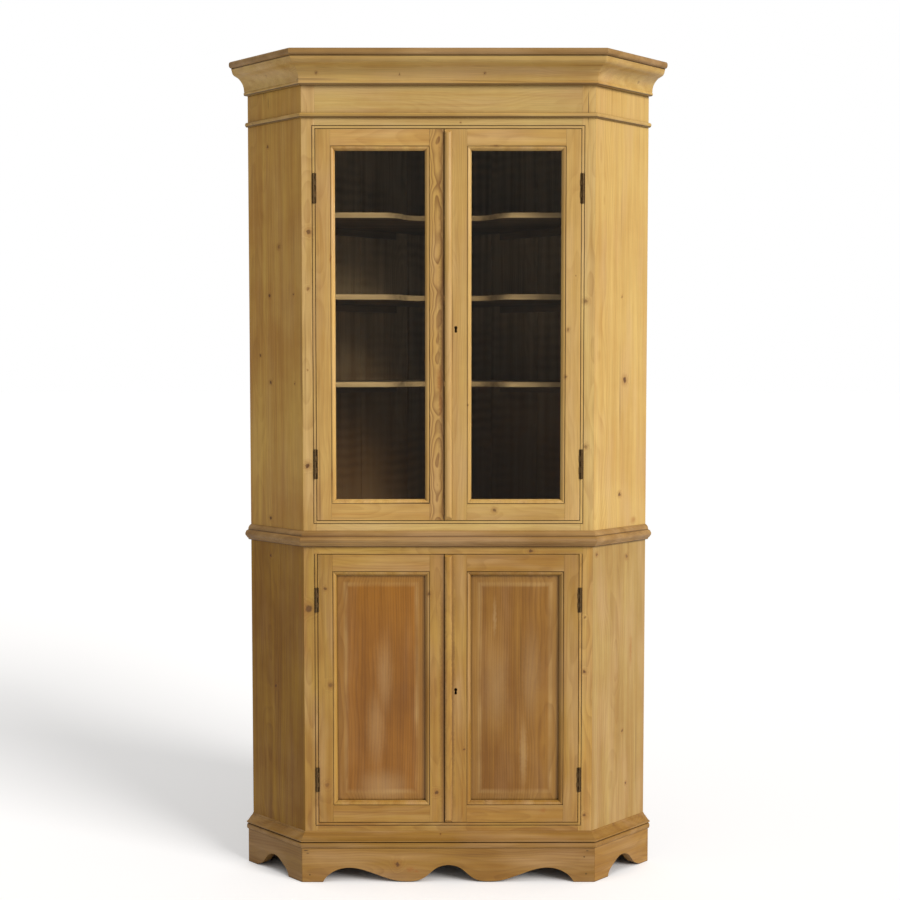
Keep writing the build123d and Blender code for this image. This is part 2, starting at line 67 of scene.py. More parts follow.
FADED = "C9A67C"
DRY = "CDAE7C"
STAINED = "9A5F24"
KNOT_HALO = "8E5B22"
KNOT_HEART = ("65401B", "533012", "371D0A")
GATHERED_WAX = "6B4620"
# Painted shadow beside the upper meeting bead, painted shade on the shelves and back boards, and darker
# strips along the lower meeting bead
DARKENED_BROWN = "5F3A14"
# Cracks and gouges, and painted lines of shade under the mouldings and in their quirks
CRACK_AND_SHADE = "3A210D"
# Painted shade in corners and recesses, with some dark wax there
CORNER_DIRT_AND_SHADE = "3A2009"
PANEL_SLOPE = "A98343"
PANEL_ARRIS = "BF9C62"


def rgb(code):
    """An sRGB hex colour as linear RGBA."""
    out = []
    for i in (0, 2, 4):
        c = int(code[i:i + 2], 16) / 255
        out.append(c / 12.92 if c <= 0.04045 else ((c + 0.055) / 1.055) ** 2.4)
    return (*out, 1.0)


def add(tree, kind, settings=None, inputs=None):
    """A node with its settings and its inputs, each a value or the socket that feeds it."""
    node = tree.nodes.new(kind)
    for key, value in (settings or {}).items():
        setattr(node, key, value)
    for key, value in (inputs or {}).items():
        socket = node.inputs[key]
        if isinstance(value, bpy.types.NodeSocket):
            tree.links.new(value, socket)
        else:
            socket.default_value = value
    return node


def new_material(name):
    """A material with a Principled shader, which the caller sets up."""
    material = bpy.data.materials.new(name)
    material.use_nodes = True
    tree = material.node_tree
    tree.nodes.clear()
    out = add(tree, "ShaderNodeOutputMaterial")
    shader = add(tree, "ShaderNodeBsdfPrincipled")
    tree.links.new(shader.outputs[0], out.inputs[0])
    return material, tree, shader


def set_ramp(node, stops):
    """Gives a colour ramp its stops, each a position with a grey value or a colour."""
    ramp = node.color_ramp
    while len(ramp.elements) < len(stops):
        ramp.elements.new(0.5)
    for element, (position, value) in zip(ramp.elements, stops):
        element.position = position
        element.color = value if isinstance(value, tuple) else (value, value, value, 1)
    return node.outputs[0]


def marks(tree, place, spots, soft):
    """Nearest distance to, and cover by, a list of oval marks: centre, radii in millimetres, strength.
    A mark comes up from its rim, at 1, to its full strength at soft, on the way to its middle at 0."""
    near, cover = None, None
    for centre, radii, strength in spots:
        scale = tuple(1 / (r * MM) for r in radii)
        shift = tuple(-c * s for c, s in zip(centre, scale))
        local = add(tree, "ShaderNodeVectorMath", {"operation": "MULTIPLY_ADD"},
                    {0: place, 1: scale, 2: shift})
        away = add(tree, "ShaderNodeVectorMath", {"operation": "LENGTH"},
                   {0: local.outputs[0]}).outputs["Value"]
        inside = add(tree, "ShaderNodeMapRange", {"interpolation_type": "SMOOTHSTEP"},
                     {"Value": away, 1: 1.0, 2: soft, 3: 0.0, 4: strength}).outputs[0]
        if near is None:
            near, cover = away, inside
        else:
            near = add(tree, "ShaderNodeMath", {"operation": "MINIMUM"}, {0: near, 1: away}).outputs[0]
            cover = add(tree, "ShaderNodeMath", {"operation": "MAXIMUM"}, {0: cover, 1: inside}).outputs[0]
    return near, cover


def mix_colour(tree, factor, first, second, mode="MIX"):
    node = add(tree, "ShaderNodeMix", {"data_type": "RGBA", "blend_type": mode},
               {0: factor, 6: first, 7: second})
    return node.outputs[2]


def along_grain(tree, grain, seed, cells, detail):
    """Noise drawn out along a board. cells are its patches to the metre: along, across and through."""
    at = add(tree, "ShaderNodeVectorMath", {"operation": "MULTIPLY_ADD"},
             {0: grain, 1: cells, 2: seed}).outputs[0]
    noise = add(tree, "ShaderNodeTexNoise", {}, {"Vector": at, "Scale": 1.0, "Detail": detail})
    return at, noise.outputs["Fac"]


def pine(name, light, mid, line, ring_mm=4.5, ring=0.5, wander_mm=14, sway=2.6, fade=0.35, grime_and_shade=0.85,
         rough=0.42, sheen=0.5, saw_marks=0.0, knots=(), stains=(), pale=(), dark=(), cuts_and_shade_lines=(), edge=None,
         panel=None):
    """Pine, planed and waxed: a satin honey ground with fine darker year lines. The grain attribute holds
    each board's own (along, across, deep) in metres, measured from the pith, so that the year rings cut
    the face in straight lines or in arches. board is a number of its own for each board."""
    material, tree, shader = new_material(name)
    place = add(tree, "ShaderNodeTexCoord").outputs["Object"]
    grain = add(tree, "ShaderNodeAttribute", {"attribute_name": "grain"}).outputs["Vector"]
    board = add(tree, "ShaderNodeAttribute", {"attribute_name": "board"}).outputs["Fac"]
    seed = add(tree, "ShaderNodeMath", {"operation": "MULTIPLY"}, {0: board, 1: 53.0}).outputs[0]

    # Year rings 2 to 6 mm apart round the pith, which wanders by up to 14 mm as the tree grew
    slow_at, slow = along_grain(tree, grain, seed, (sway, 9.0, 9.0), 2.0)
    wander = add(tree, "ShaderNodeMapRange", {},
                 {"Value": slow, 1: 0.25, 2: 0.75, 3: -wander_mm * MM, 4: wander_mm * MM}).outputs[0]
    parts = add(tree, "ShaderNodeSeparateXYZ", {}, {0: grain}).outputs
    deep = add(tree, "ShaderNodeMath", {"operation": "ADD"}, {0: parts[2], 1: wander}).outputs[0]
    cross = add(tree, "ShaderNodeCombineXYZ", {}, {1: parts[1], 2: deep}).outputs[0]
    radius = add(tree, "ShaderNodeVectorMath", {"operation": "LENGTH"}, {0: cross}).outputs["Value"]
    phase = add(tree, "ShaderNodeMath", {"operation": "MULTIPLY"},
                {0: radius, 1: 1 / (ring_mm * MM)}).outputs[0]

    # Marks get a ragged outline, up to 4.5 mm off their ovals
    ragged = add(tree, "ShaderNodeTexNoise", {},
                 {"Vector": place, "Scale": 160.0, "Detail": 2.0}).outputs["Color"]
    uneven_place = add(tree, "ShaderNodeVectorMath", {"operation": "MULTIPLY_ADD"},
                       {0: ragged, 1: (0.009, 0.009, 0.009), 2: place}).outputs[0]
    uneven_place = add(tree, "ShaderNodeVectorMath", {"operation": "SUBTRACT"},
                       {0: uneven_place, 1: (0.0045, 0.0045, 0.0045)}).outputs[0]

    # The rings bend round each knot
    near, knot_cover = None, None
    if knots:
        near, knot_cover = marks(tree, uneven_place, knots, 0.4)
        bend = add(tree, "ShaderNodeMapRange", {"interpolation_type": "SMOOTHSTEP"},
                   {"Value": near, 1: 3.2, 2: 0.6, 3: 0.0, 4: 2.4}).outputs[0]
        phase = add(tree, "ShaderNodeMath", {"operation": "ADD"}, {0: phase, 1: bend}).outputs[0]
    year = add(tree, "ShaderNodeMath", {"operation": "FRACT"}, {0: phase}).outputs[0]
    latewood = set_ramp(add(tree, "ShaderNodeValToRGB", {}, {0: year}),
                        [(0.0, 0.0), (0.35, 0.12), (0.78, 0.8), (0.9, 1.0), (1.0, 0.0)])

    # Fibres 2.4 mm wide, coarser than real ones so that they show, and streaks 18 mm wide
    fibre_at, fibre = along_grain(tree, grain, seed, (9.0, 420.0, 420.0), 3.0)
    streak = along_grain(tree, grain, seed, (1.6, 55.0, 55.0), 4.0)[1]

    # Broad uneven tone from age, hands and old wax, in patches of about 250 mm
    blotch = add(tree, "ShaderNodeTexNoise", {},
                 {"Vector": place, "Scale": 4.0, "Detail": 4.0, "Roughness": 0.6}).outputs["Fac"]
    tone = add(tree, "ShaderNodeMath", {"operation": "MULTIPLY_ADD"},
               {0: streak, 1: 0.9, 2: -0.45}).outputs[0]
    tone = add(tree, "ShaderNodeMath", {"operation": "ADD"}, {0: tone, 1: blotch}).outputs[0]
    colour = set_ramp(add(tree, "ShaderNodeValToRGB", {}, {0: tone}),
                      [(0.28, rgb(light)), (0.72, rgb(mid))])
    if fade:
        hue = along_grain(tree, grain, seed, (4.0, 22.0, 22.0), 2.0)[1]
        faded = add(tree, "ShaderNodeMapRange", {},
                    {"Value": hue, 1: 0.45, 2: 0.72, 3: 0.0, 4: fade}).outputs[0]
        colour = mix_colour(tree, faded, colour, rgb(FADED))
    each = add(tree, "ShaderNodeMapRange", {}, {"Value": board, 3: 0.93, 4: 1.06}).outputs[0]
    colour = mix_colour(tree, 1.0, colour, each, "MULTIPLY")
    if panel:
        colour = panel_wear(tree, place, colour, streak, *panel)

    # Year lines and fibres over the ground
    amount = add(tree, "ShaderNodeMapRange", {},
                 {"Value": streak, 1: 0.3, 2: 0.7, 3: ring * 0.45, 4: ring}).outputs[0]
    lines = add(tree, "ShaderNodeMath", {"operation": "MULTIPLY"}, {0: latewood, 1: amount}).outputs[0]
    colour = mix_colour(tree, lines, colour, rgb(line))
    hair = add(tree, "ShaderNodeMapRange", {},
               {"Value": fibre, 1: 0.35, 2: 0.65, 3: 0.93, 4: 1.05}).outputs[0]
    colour = mix_colour(tree, 1.0, colour, hair, "MULTIPLY")

    # Pale dry spots, stains, and knots with a halo round a dark heart
    if pale:
        colour = mix_colour(tree, marks(tree, uneven_place, pale, 0.0)[1], colour, rgb(DRY))
    if stains:
        colour = mix_colour(tree, marks(tree, uneven_place, stains, 0.0)[1], colour, rgb(STAINED))
    if knots:
        halo = add(tree, "ShaderNodeMapRange", {"interpolation_type": "SMOOTHSTEP"},
                   {"Value": near, 1: 2.3, 2: 0.9, 3: 0.0, 4: 0.35}).outputs[0]
        colour = mix_colour(tree, halo, colour, rgb(KNOT_HALO))
        heart = set_ramp(add(tree, "ShaderNodeValToRGB", {}, {0: near}),
                         [(at, rgb(code)) for at, code in zip((0.15, 0.5, 0.85), KNOT_HEART)])
        colour = mix_colour(tree, knot_cover, colour, heart)

    # Small dents and flecks where dark wax has gathered, drawn out along the grain
    fleck = add(tree, "ShaderNodeTexNoise", {},
                {"Vector": fibre_at, "Scale": 0.16, "Detail": 2.0}).outputs["Fac"]
    fleck_mask = add(tree, "ShaderNodeMapRange", {"interpolation_type": "SMOOTHSTEP"},
                     {"Value": fleck, 1: 0.67, 2: 0.76, 3: 0.0, 4: 0.45}).outputs[0]
    colour = mix_colour(tree, fleck_mask, colour, rgb(GATHERED_WAX))

    # A shelf's cut edge is paler than its top, because it is handled and dusted
    if edge:
        normal = add(tree, "ShaderNodeNewGeometry").outputs["Normal"]
        up = add(tree, "ShaderNodeSeparateXYZ", {}, {0: normal}).outputs[2]
        up = add(tree, "ShaderNodeMath", {"operation": "ABSOLUTE"}, {0: up}).outputs[0]
        is_edge = add(tree, "ShaderNodeMapRange", {}, {"Value": up, 1: 0.5, 2: 0.3}).outputs[0]
        worn = mix_colour(tree, streak, rgb(edge), rgb(mid))
        colour = mix_colour(tree, is_edge, colour, worn)

    # Darker patches, mostly painted shadow and shade, then crisp cracks, gouges and painted lines of shade
    if dark:
        colour = mix_colour(tree, marks(tree, uneven_place, dark, 0.0)[1], colour, rgb(DARKENED_BROWN))
    if cuts_and_shade_lines:
        colour = mix_colour(tree, marks(tree, place, cuts_and_shade_lines, 0.4)[1], colour, rgb(CRACK_AND_SHADE))

    # Faint bands across a board, about 28 mm apart, where the saw left them: they come and go
    if saw_marks:
        bands = add(tree, "ShaderNodeTexWave", {"bands_direction": "X"},
                    {"Vector": slow_at, "Scale": 11.0 / sway, "Distortion": 3.0, "Detail": 2.0,
                     "Detail Scale": 0.4}).outputs["Fac"]
        band_tone = add(tree, "ShaderNodeMapRange", {},
                        {"Value": bands, 3: 1.0 - saw_marks, 4: 1.0 + saw_marks}).outputs[0]
        patches = add(tree, "ShaderNodeMapRange", {}, {"Value": blotch, 1: 0.42, 2: 0.62}).outputs[0]
        colour = mix_colour(tree, patches, colour, band_tone, "MULTIPLY")

    # Painted shade in the corners and recesses, within 8 mm, with some old dark wax there
    if grime_and_shade:
        open_air = add(tree, "ShaderNodeAmbientOcclusion", {"samples": 8},
                       {"Distance": 0.008}).outputs["AO"]
        corner_shade = add(tree, "ShaderNodeMapRange", {"interpolation_type": "SMOOTHSTEP"},
                   {"Value": open_air, 1: 0.8, 2: 0.3, 3: 0.0, 4: grime_and_shade}).outputs[0]
        colour = mix_colour(tree, corner_shade, colour, rgb(CORNER_DIRT_AND_SHADE))
    tree.links.new(colour, shader.inputs["Base Color"])

    # Wax shines unevenly. The late wood and the fibres stand 0.25 mm proud, and the plane left soft waves
    polish = add(tree, "ShaderNodeMapRange", {},
                 {"Value": blotch, 1: 0.3, 2: 0.7, 3: rough - 0.06, 4: rough + 0.1}).outputs[0]
    tree.links.new(polish, shader.inputs["Roughness"])
    shader.inputs["IOR"].default_value = 1.5
    shader.inputs["Specular IOR Level"].default_value = sheen
    relief = add(tree, "ShaderNodeMath", {"operation": "MULTIPLY_ADD"},
                 {0: latewood, 1: 0.6, 2: fibre}).outputs[0]
    if saw_marks:
        relief = add(tree, "ShaderNodeMath", {"operation": "MULTIPLY_ADD"},
                     {0: bands, 1: 0.8, 2: relief}).outputs[0]
    bump = add(tree, "ShaderNodeBump", {},
               {"Strength": 0.35, "Distance": 0.00025, "Height": relief}).outputs[0]
    planed = add(tree, "ShaderNodeTexNoise", {},
                 {"Vector": place, "Scale": 22.0, "Detail": 1.0}).outputs["Fac"]
    waves = add(tree, "ShaderNodeBump", {},
                {"Strength": 0.5, "Distance": 0.0012, "Height": planed, "Normal": bump})
    tree.links.new(waves.outputs[0], shader.inputs["Normal"])
    return material


def panel_wear(tree, place, colour, streak, centre, half, margin):
    """Pale dry wood along the arrises of a fielded panel, where the wax has worn off. The panel is given by
    its middle, its half width and height, and the width of its sloping margin, in metres."""
    scale = (1 / half[0], 0.0, 1 / half[1])
    shift = (-centre[0] / half[0], 0.0, -centre[1] / half[1])
    local = add(tree, "ShaderNodeVectorMath", {"operation": "MULTIPLY_ADD"},
                {0: place, 1: scale, 2: shift}).outputs[0]
    flat = add(tree, "ShaderNodeVectorMath", {"operation": "ABSOLUTE"}, {0: local}).outputs[0]
    inward = add(tree, "ShaderNodeVectorMath", {"operation": "MULTIPLY_ADD"},
                 {0: flat, 1: (half[0], 0.0, half[1]),
                  2: (margin - half[0], -1.0, margin - half[1])}).outputs[0]
    axes = add(tree, "ShaderNodeSeparateXYZ", {}, {0: inward})
    from_arris = add(tree, "ShaderNodeMath", {"operation": "MAXIMUM"},
                     {0: axes.outputs[0], 1: axes.outputs[2]}).outputs[0]
    away = add(tree, "ShaderNodeMath", {"operation": "ABSOLUTE"}, {0: from_arris}).outputs[0]
    worn = add(tree, "ShaderNodeMapRange", {"interpolation_type": "SMOOTHSTEP"},
               {"Value": away, 1: 0.009, 2: 0.001, 3: 0.0, 4: 1.0}).outputs[0]
    patchy = add(tree, "ShaderNodeTexNoise", {},
                 {"Vector": place, "Scale": 9.0, "Detail": 3.0}).outputs["Fac"]
    keep = add(tree, "ShaderNodeMapRange", {},
               {"Value": patchy, 1: 0.35, 2: 0.7, 3: 0.05, 4: 0.5}).outputs[0]
    amount = add(tree, "ShaderNodeMath", {"operation": "MULTIPLY"}, {0: worn, 1: keep}).outputs[0]
    slope = add(tree, "ShaderNodeMapRange", {"interpolation_type": "SMOOTHSTEP"},
                {"Value": from_arris, 1: -0.004, 2: 0.006, 3: 0.0, 4: 0.32}).outputs[0]
    colour = mix_colour(tree, slope, colour, rgb(PANEL_SLOPE))
    return mix_colour(tree, amount, colour, rgb(PANEL_ARRIS))


def knot(x, z, r=4.0, strength=0.9, tall=1.1):
    """An oval mark on the front face, in millimetres, tall times as high as it is wide."""
    return ((x * MM, FRONT, z * MM), (r, 60.0, r * tall), strength)


def side_knot(side, along, z, r=4.0, strength=0.9):
    """A knot on a canted side, in millimetres."""
    return (side_point(side, along * MM, z * MM), (r, r, r * 1.1), strength)


def shade_line(z, half=1.8, strength=0.75):
    """A painted line of shade all round the case at one height, in millimetres, under a moulding or in its
    quirk.
    """
    return ((0.0, 0.0, z * MM), (9000.0, 9000.0, half), strength)


# Waxed pine: honey yellow where it has faded, browner below, with the knots where the boards have them
LINE = "936327"
# The upper meeting bead casts a painted shadow down the left door's stile; the lower one has darker strips
# along both sides
MEETING_EDGE = (-0.0130, FRONT, 1.44)
LOWER_MEETING_EDGES = ((-0.0130, FRONT, 0.505), (0.0120, FRONT, 0.505))
WAXED = {
    "rails": pine("waxed_pine_rails", "CEB16D", "BB9653", "93672B", ring=0.2,
                  knots=[knot(31, 1954, 2.0, 0.7), knot(-47, 1975, 3.5, 0.6),
                         knot(213, 864, 6.0, 0.9, 0.7)]),
    "stiles": pine("waxed_pine_stiles", "C5A564", "B28C4C", "8C6027", ring=0.35,
                   knots=[knot(-355, 1680, 7, 0.8), knot(-357, 1537, 4, 0.5), knot(-361, 1084, 7, 0.95),
                          knot(-360, 1330, 2, 0.6)]),
    "right_stile": pine("faded_pine_right_stile", "D9BB75", "C7A05B", LINE, ring=0.3,
                        knots=[knot(350, 1505, 6, 0.55), knot(352, 1133, 5, 0.5)],
                        cuts_and_shade_lines=[knot(354.7, 1992, 1.3, 0.8, 43)]),
    "low_right_stile": pine("faded_pine_lower_right_stile", "CEA85D", "B9893D", "7C5221", ring=0.36,
                            knots=[knot(352, 550, 4.5, 0.9), knot(355, 172, 4.5, 0.7),
                                   knot(353, 692, 2.5, 0.8)]),
    "waist": pine("darkened_pine_waist_moulding", "A8834A", "8B6633", "673F14", ring_mm=3.5, ring=0.3,
                  # Painted lines of shade in the quirk of the waist moulding and under it
                  cuts_and_shade_lines=[shade_line(903.6, 1.4, 0.6), shade_line(877.3, 1.6, 0.6)]),
    "low_frame": pine("waxed_pine_lower_frame", "B79345", "A0732F", "794D1A", ring=0.42,
                      knots=[knot(-360, 715, 11, 0.85), knot(352, 550, 4.5, 0.9), knot(355, 172, 4.5, 0.7),
                             knot(353, 692, 2.5, 0.8), knot(213, 864, 7.0, 0.85, 0.7)]),
    "left_door": pine("waxed_pine_upper_left_door", "CCA65F", "B78A45", LINE, ring=0.28,
                      stains=[knot(-300, 1614, 3, 0.8, 6), knot(-299, 1062, 4, 0.6, 5)]),
    "meeting": pine("waxed_pine_arched_grain", "C9A358", "B78943", "6E421A", ring_mm=2.0, ring=0.9,
                    wander_mm=3.6, sway=8.0,
                    stains=[knot(-22, 1300, 14, 0.8, 4), knot(-20, 1240, 9, 0.7, 5)],
                    # A painted shadow that the meeting bead casts on this stile
                    dark=[(MEETING_EDGE, (15, 60, 900), 0.8)]),
    "right_door": pine("waxed_pine_upper_right_door", "CCA862", "BA914A", LINE, ring=0.25,
                       knots=[knot(120, 1897, 8, 0.5, 0.3), knot(118, 970, 5.5, 0.75),
                              knot(325, 1570, 1.8, 0.8), knot(300, 1312, 4, 0.65),
                              knot(305, 1432, 4, 0.5), knot(50, 1240, 2.5, 0.8)]),
    "low_door": pine("waxed_pine_lower_doors", "B38C43", "9F722C", "794F1B", ring=0.34,
                     knots=[knot(-317, 766, 4.5, 0.75), knot(-305, 515, 7, 0.55), knot(-315, 252, 6, 0.4),
                            knot(-30, 232, 6, 0.9), knot(-50, 753, 5, 0.7), knot(41, 346, 3.2, 0.85)],
                     stains=[knot(247, 185, 12, 0.6, 0.7)],
                     dark=[(LOWER_MEETING_EDGES[0], (12, 60, 700), 0.7),
                           (LOWER_MEETING_EDGES[1], (6, 60, 700), 0.5)]),
    "moulding": pine("waxed_pine_mouldings", "C9A862", "B38B45", "96682D", ring_mm=3.5, ring=0.25,
                     # Stronger painted shade in the corners, and painted lines of shade under the top
                     # board, the cornice and the astragal
                     grime_and_shade=0.95,
                     cuts_and_shade_lines=[shade_line(2049.3), shade_line(2111.8, 1.5), shade_line(1968.4),
                           shade_line(1979.3, 1.2, 0.4)],
                     knots=[knot(-122, 2072, 2.0, 0.8), knot(91, 2075, 2.5, 0.7),
                            knot(-332, 2076, 3, 0.6)]),
    "plinth": pine("waxed_pine_plinth", "A07833", "8E6423", "6C4414", ring=0.35,
                   knots=[knot(-132, 47, 8, 0.9), knot(-20, 124, 2, 0.8)],
                   cuts_and_shade_lines=[knot(-370, 84, 9, 0.95, 0.2), knot(-365, 77, 6, 0.95, 0.25),
                         knot(361, 83, 5, 0.9, 0.3)],
                   stains=[knot(-100, 34, 16, 0.75, 0.7), knot(-82, 28, 10, 0.7, 0.6)]),
    "left_side": pine("waxed_pine_left_side", "CFA54F", "B58439", "8A5A1F", ring=0.26, sheen=0.3, fade=0.15,
                      cuts_and_shade_lines=[(side_point(-1, 0.133, 2.020), (1.1, 1.1, 22), 0.8)],
                      knots=[side_knot(-1, 136, 1908, 4), side_knot(-1, 93, 1648, 6, 0.5),
                             side_knot(-1, 133, 1523, 5), side_knot(-1, 34, 1523, 3),
                             side_knot(-1, 173, 1367, 4), side_knot(-1, 131, 1297, 5),
                             side_knot(-1, 32, 1295, 3), side_knot(-1, 135, 940, 5)]),
    "low_left_side": pine("waxed_pine_lower_left_side", "A0761F", "855911", "633A06", ring=0.34, sheen=0.25,
                          fade=0.1, knots=[side_knot(-1, 136, 840, 4), side_knot(-1, 119, 495, 5)],
                          stains=[(side_point(-1, 0.015, 0.733), (7, 7, 80), 0.6)]),
    "right_side": pine("waxed_pine_right_side", "CFAE67", "C09953", "9D6D30", ring=0.34,
                       knots=[side_knot(1, 126, 1303, 9, 0.95), side_knot(1, 108, 1004, 6, 0.8),
                              side_knot(1, 113, 1520, 3, 0.8)],
                       stains=[(side_point(1, 0.167, 0.931), (18, 18, 16), 0.6)]),
    "low_right_side": pine("waxed_pine_lower_right_side", "B8995A", "A68143", "865C27", ring=0.3,
                           knots=[side_knot(1, 140, 837, 6, 0.6), side_knot(1, 126, 372, 4),
                                  side_knot(1, 142, 227, 4), side_knot(1, 15, 853, 5, 0.6)],
                           stains=[(side_point(1, 0.160, 0.583), (7, 7, 60), 0.55)]),
}

# The lower panels: redder, with dry streaks down the middle and pale worn arrises
PANEL_HALF = (0.1135, 0.2935)
PANEL_MARGIN = 0.022
PANEL_MIDDLE = 0.5045
WAXED["left_panel"] = pine("worn_pine_left_panel", "9A651C", "81500E", "643806", ring_mm=6, ring=0.4,
                           rough=0.38, fade=0.12,
                           panel=((-0.174, PANEL_MIDDLE), PANEL_HALF, PANEL_MARGIN),
                           pale=[knot(-165, 540, 30, 0.22, 5), knot(-190, 400, 34, 0.22, 4),
                                 knot(-170, 245, 90, 0.3, 0.7)])
WAXED["right_panel"] = pine("worn_pine_right_panel", "9E7029", "845616", "663B0A", ring_mm=6, ring=0.4,
                            rough=0.38, fade=0.12,
                            panel=((0.17325, PANEL_MIDDLE), PANEL_HALF, PANEL_MARGIN),
                            cuts_and_shade_lines=[knot(188, 600, 1.1, 0.6, 150), knot(187, 300, 1.0, 0.35, 90)],
                            pale=[knot(125, 500, 40, 0.22, 4), knot(215, 540, 36, 0.22, 5),
                                  knot(195, 330, 14, 0.35, 9), knot(120, 690, 6, 0.3, 12)])

# Pine that was never waxed: dull brown inside, sawn and greyer at the back. The shelves are painted darker
# in the middle of their front edge, a painted shadow of the meeting stiles, and the back boards darker
# round the
# height where the two cases meet: both painted shade
SHELF_SHADED = (0, FRONT + 0.16, 1.5)
BACK_SHADED = (0, FRONT + 0.4, 1.02)
BROWNED = ("7A604A", "5E4836", "3C2B1C")
AGED = {
    "inside": pine("dark_aged_pine", *BROWNED, ring=0.3, rough=0.7, grime_and_shade=0.3, sheen=0.15, fade=0.0),
    "shelf": pine("dark_aged_pine_shelves", *BROWNED, ring=0.3, rough=0.65, grime_and_shade=0.3, sheen=0.15, fade=0.0,
                  edge="D9B585", dark=[(SHELF_SHADED, (110, 90, 900), 0.9)]),
    "back": pine("sawn_pine_backboards", "A88E72", "846B52", "56422E", ring=0.3, rough=0.9, grime_and_shade=0.2,
                 sheen=0.05, fade=0.0, saw_marks=0.11, dark=[(BACK_SHADED, (1500, 1500, 620), 0.8)]),
}


def aged_iron():
    """Wrought iron gone brown, in flecks about 4 mm wide, a little polished where it is handled."""
    material, tree, shader = new_material("aged_iron")
    place = add(tree, "ShaderNodeTexCoord").outputs["Object"]
    rust = add(tree, "ShaderNodeTexNoise", {},
               {"Vector": place, "Scale": 240.0, "Detail": 4.0}).outputs["Fac"]
    colour = set_ramp(add(tree, "ShaderNodeValToRGB", {}, {0: rust}),
                      [(0.35, rgb("5C4A30")), (0.55, rgb("6E5634")), (0.7, rgb("4A2E1A"))])
    tree.links.new(colour, shader.inputs["Base Color"])
    shader.inputs["Metallic"].default_value = 0.75
    rough = add(tree, "ShaderNodeMapRange", {}, {"Value": rust, 1: 0.3, 2: 0.7, 3: 0.38, 4: 0.7}).outputs[0]
    tree.links.new(rough, shader.inputs["Roughness"])
    bump = add(tree, "ShaderNodeBump", {}, {"Strength": 0.3, "Distance": 0.0002, "Height": rust})
    tree.links.new(bump.outputs[0], shader.inputs["Normal"])
    return material


def old_glass():
    """Drawn window glass: clear, with slow waves about 110 mm long that bend what it mirrors. It lets the
    light through to the shelves."""
    material, tree, shader = new_material("old_window_glass")
    out = [n for n in tree.nodes if n.bl_idname == "ShaderNodeOutputMaterial"][0]
    place = add(tree, "ShaderNodeTexCoord").outputs["Object"]
    shader.inputs["Base Color"].default_value = rgb("F2F4EE")
    shader.inputs["Transmission Weight"].default_value = 1.0
    shader.inputs["Roughness"].default_value = 0.01
    shader.inputs["IOR"].default_value = 1.46
    wave = add(tree, "ShaderNodeTexNoise", {},
               {"Vector": place, "Scale": 9.0, "Detail": 1.0}).outputs["Fac"]
    bump = add(tree, "ShaderNodeBump", {}, {"Strength": 0.15, "Distance": 0.0006, "Height": wave})
    tree.links.new(bump.outputs[0], shader.inputs["Normal"])
    clear = add(tree, "ShaderNodeBsdfTransparent", {}, {0: rgb("E9ECE4")})
    shadow = add(tree, "ShaderNodeLightPath").outputs["Is Shadow Ray"]
    pane = add(tree, "ShaderNodeMixShader", {}, {0: shadow, 1: shader.outputs[0], 2: clear.outputs[0]})
    tree.links.new(pane.outputs[0], out.inputs[0])
    return material


IRON = aged_iron()
GLASS = old_glass()


# Pieces: each board is a copy of its solid, merged, eased along its arrises and given its own grain

def islands(bm):
    """Groups of faces that hang together, one for each board."""
    left = set(bm.faces)
    groups = []
    while left:
        stack = [min(left, key=lambda f: f.index)]
        left.discard(stack[0])
        group = []
        while stack:
            face = stack.pop()
            group.append(face)
            for edge in face.edges:
                for other in edge.link_faces:
                    if other in left:
                        left.discard(other)
                        stack.append(other)
        groups.append(group)
    return groups


def board_axes(points):
    """Unit vectors along, across and through a board, from how far its points spread."""
    count = len(points)
    mean = sum(points, Vector()) / count
    xx = sum((p.x - mean.x) ** 2 for p in points)
    yy = sum((p.y - mean.y) ** 2 for p in points)
    xy = sum((p.x - mean.x) * (p.y - mean.y) for p in points)
    turn = 0.5 * math.atan2(2 * xy, xx - yy)
    turn = round(turn / (math.pi / 4)) * (math.pi / 4)
    plan = Vector((math.cos(turn), math.sin(turn), 0))
    through = Vector((-math.sin(turn), math.cos(turn), 0))
    upright = Vector((0, 0, 1))
    spans = []
    for axis in (plan, through, upright):
        reach = [p.dot(axis) for p in points]
        spans.append((max(reach) - min(reach), (max(reach) + min(reach)) / 2, axis))
    spans.sort(key=lambda item: -item[0])
    return spans


